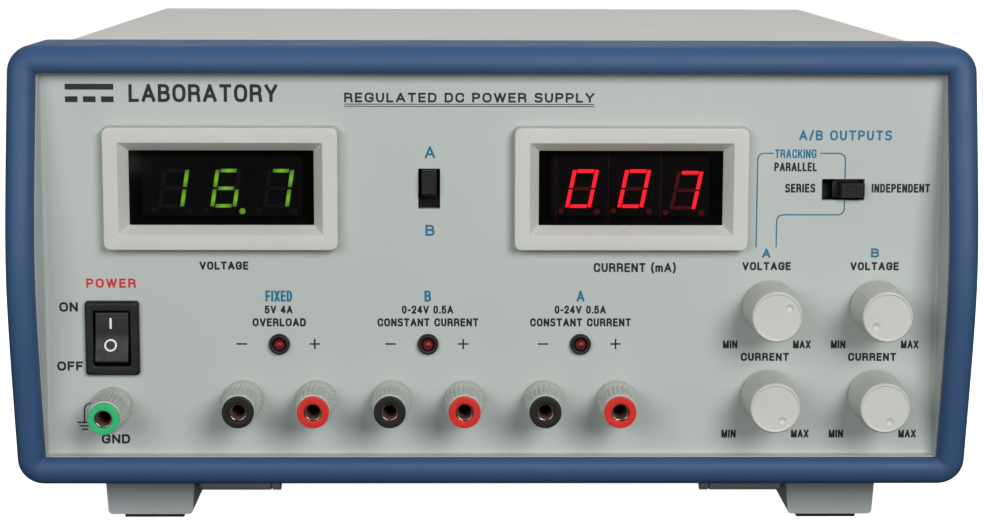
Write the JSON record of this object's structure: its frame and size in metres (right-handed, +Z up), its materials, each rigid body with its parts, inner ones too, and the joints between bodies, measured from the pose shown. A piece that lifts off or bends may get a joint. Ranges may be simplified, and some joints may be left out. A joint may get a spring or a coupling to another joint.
{
  "type": "bench power supply",
  "caption": "Boxy bench power supply with a blue front frame, panel meters, adjustment knobs, screw terminals and fold-out front legs.",
  "frame": {"origin": "middle of the rectangle the object stands on, at the underside of the rubber pads", "axes": "+Z up, -Y out of the control panel towards the user, +X to the user's right"},
  "size_m": [0.246, 0.2994, 0.1288],
  "materials": {
    "frame_blue": "fine moulded grain, blue",
    "panel_grey": "smooth light grey paint with screen-printed legends",
    "cover_paint": "fine textured warm grey paint",
    "chassis_steel": "zinc-plated sheet",
    "foot_grey": "moulded grey plastic",
    "rubber_black": "matt black rubber",
    "meter_ivory": "satin moulded plastic",
    "smoked_filter": "dark translucent filter",
    "display_green": "dark digit block with lit green segments",
    "display_red": "dark digit block with lit red segments",
    "switch_black": "satin black nylon",
    "knob_grey": "satin light grey plastic",
    "pot_metal": "plated can and bushing",
    "terminal_metal": "nickel-plated brass with a grey insulator",
    "cap_green": "ribbed grey cap with a green ring",
    "cap_red": "ribbed grey cap with a red ring",
    "cap_black": "ribbed grey cap with a black ring",
    "lamp_red": "red lens in a black clip",
    "transformer_iron": "varnished laminations and taped winding",
    "board_green": "green board with solder mask",
    "capacitor_sleeve": "printed sleeve on an aluminium can",
    "sink_black": "black anodised extrusion"
  },
  "bodies": {
    "case": {"chassis_base": "chassis_steel", "constant_current_a_led": "lamp_red", "constant_current_b_led": "lamp_red", "current_a_potentiometer": "pot_metal", "current_b_potentiometer": "pot_metal", "current_display": "display_red", "current_meter_bezel": "meter_ivory", "current_meter_window": "smoked_filter", "filter_capacitor_a": "capacitor_sleeve", "filter_capacitor_b": "capacitor_sleeve", "fixed_negative_socket": "terminal_metal", "fixed_positive_socket": "terminal_metal", "front_frame": "frame_blue", "front_left_foot": "foot_grey", "front_left_pad": "rubber_black", "front_panel": "panel_grey", "front_right_foot": "foot_grey", "front_right_pad": "rubber_black", "fuse_holder": "switch_black", "ground_socket": "terminal_metal", "heat_sink": "sink_black", "main_circuit_board": "board_green", "meter_switch_body": "switch_black", "output_a_negative_socket": "terminal_metal", "output_a_positive_socket": "terminal_metal", "output_b_negative_socket": "terminal_metal", "output_b_positive_socket": "terminal_metal", "overload_led": "lamp_red", "power_inlet": "switch_black", "power_switch_body": "switch_black", "rear_left_foot": "foot_grey", "rear_left_pad": "rubber_black", "rear_panel": "chassis_steel", "rear_right_foot": "foot_grey", "rear_right_pad": "rubber_black", "top_cover": "cover_paint", "tracking_switch_body": "switch_black", "transformer": "transformer_iron", "voltage_a_potentiometer": "pot_metal", "voltage_b_potentiometer": "pot_metal", "voltage_display": "display_green", "voltage_meter_bezel": "meter_ivory", "voltage_meter_window": "smoked_filter"},
    "voltage_a_dial": {"voltage_a_knob": "knob_grey"},
    "voltage_b_dial": {"voltage_b_knob": "knob_grey"},
    "current_a_dial": {"current_a_knob": "knob_grey"},
    "current_b_dial": {"current_b_knob": "knob_grey"},
    "ground_screw_cap": {"ground_cap": "cap_green"},
    "fixed_negative_screw_cap": {"fixed_negative_cap": "cap_black"},
    "fixed_positive_screw_cap": {"fixed_positive_cap": "cap_red"},
    "output_b_negative_screw_cap": {"output_b_negative_cap": "cap_black"},
    "output_b_positive_screw_cap": {"output_b_positive_cap": "cap_red"},
    "output_a_negative_screw_cap": {"output_a_negative_cap": "cap_black"},
    "output_a_positive_screw_cap": {"output_a_positive_cap": "cap_red"},
    "rocker": {"power_rocker": "switch_black"},
    "meter_slider": {"meter_switch_slider": "switch_black"},
    "tracking_slider": {"tracking_switch_slider": "switch_black"},
    "left_leg": {"left_tilt_leg": "foot_grey"},
    "right_leg": {"right_tilt_leg": "foot_grey"},
    "fuse_carrier": {"fuse_cap": "switch_black"}
  },
  "joints": [
    {"name": "voltage_a_turn", "type": "hinge", "parent": "case", "child": "voltage_a_dial", "pos_m": [0.0719, -0.13325, 0.0612], "axis": [0, 1, 0], "range_deg": [-204, 96]},
    {"name": "voltage_b_turn", "type": "hinge", "parent": "case", "child": "voltage_b_dial", "pos_m": [0.0999, -0.13325, 0.0612], "axis": [0, 1, 0], "range_deg": [-18, 282]},
    {"name": "current_a_turn", "type": "hinge", "parent": "case", "child": "current_a_dial", "pos_m": [0.0719, -0.13325, 0.0377], "axis": [0, 1, 0], "range_deg": [-300, 0]},
    {"name": "current_b_turn", "type": "hinge", "parent": "case", "child": "current_b_dial", "pos_m": [0.0999, -0.13325, 0.0377], "axis": [0, 1, 0], "range_deg": [-300, 0]},
    {"name": "ground_cap_unscrew", "type": "hinge", "parent": "case", "child": "ground_screw_cap", "pos_m": [-0.0988, -0.13325, 0.0348], "axis": [0, -1, 0], "range_deg": [0, 1350]},
    {"name": "fixed_negative_cap_unscrew", "type": "hinge", "parent": "case", "child": "fixed_negative_screw_cap", "pos_m": [-0.06473, -0.13325, 0.03655], "axis": [0, -1, 0], "range_deg": [0, 1350]},
    {"name": "fixed_positive_cap_unscrew", "type": "hinge", "parent": "case", "child": "fixed_positive_screw_cap", "pos_m": [-0.04568, -0.13325, 0.03655], "axis": [0, -1, 0], "range_deg": [0, 1350]},
    {"name": "output_b_negative_cap_unscrew", "type": "hinge", "parent": "case", "child": "output_b_negative_screw_cap", "pos_m": [-0.02618, -0.13325, 0.03655], "axis": [0, -1, 0], "range_deg": [0, 1350]},
    {"name": "output_b_positive_cap_unscrew", "type": "hinge", "parent": "case", "child": "output_b_positive_screw_cap", "pos_m": [-0.00713, -0.13325, 0.03655], "axis": [0, -1, 0], "range_deg": [0, 1350]},
    {"name": "output_a_negative_cap_unscrew", "type": "hinge", "parent": "case", "child": "output_a_negative_screw_cap", "pos_m": [0.01342, -0.13325, 0.03655], "axis": [0, -1, 0], "range_deg": [0, 1350]},
    {"name": "output_a_positive_cap_unscrew", "type": "hinge", "parent": "case", "child": "output_a_positive_screw_cap", "pos_m": [0.03247, -0.13325, 0.03655], "axis": [0, -1, 0], "range_deg": [0, 1350]},
    {"name": "power_rocker_tilt", "type": "hinge", "parent": "case", "child": "rocker", "pos_m": [-0.0983, -0.13295, 0.053], "axis": [1, 0, 0], "range_deg": [0, 20]},
    {"name": "meter_switch_slide", "type": "slide", "parent": "case", "child": "meter_slider", "axis": [0, 0, -1], "range_m": [0, 0.0038]},
    {"name": "tracking_switch_slide", "type": "slide", "parent": "case", "child": "tracking_slider", "axis": [-1, 0, 0], "range_m": [0, 0.0042]},
    {"name": "left_tilt_leg_fold", "type": "hinge", "parent": "case", "child": "left_leg", "pos_m": [-0.0695, -0.10625, 0.0101], "axis": [-1, 0, 0], "range_deg": [0, 100]},
    {"name": "right_tilt_leg_fold", "type": "hinge", "parent": "case", "child": "right_leg", "pos_m": [0.0695, -0.10625, 0.0101], "axis": [-1, 0, 0], "range_deg": [0, 100]},
    {"name": "fuse_cap_turn", "type": "hinge", "parent": "case", "child": "fuse_carrier", "pos_m": [-0.085, 0.13675, 0.0768], "axis": [0, 1, 0], "range_deg": [0, 90]}
  ]
}
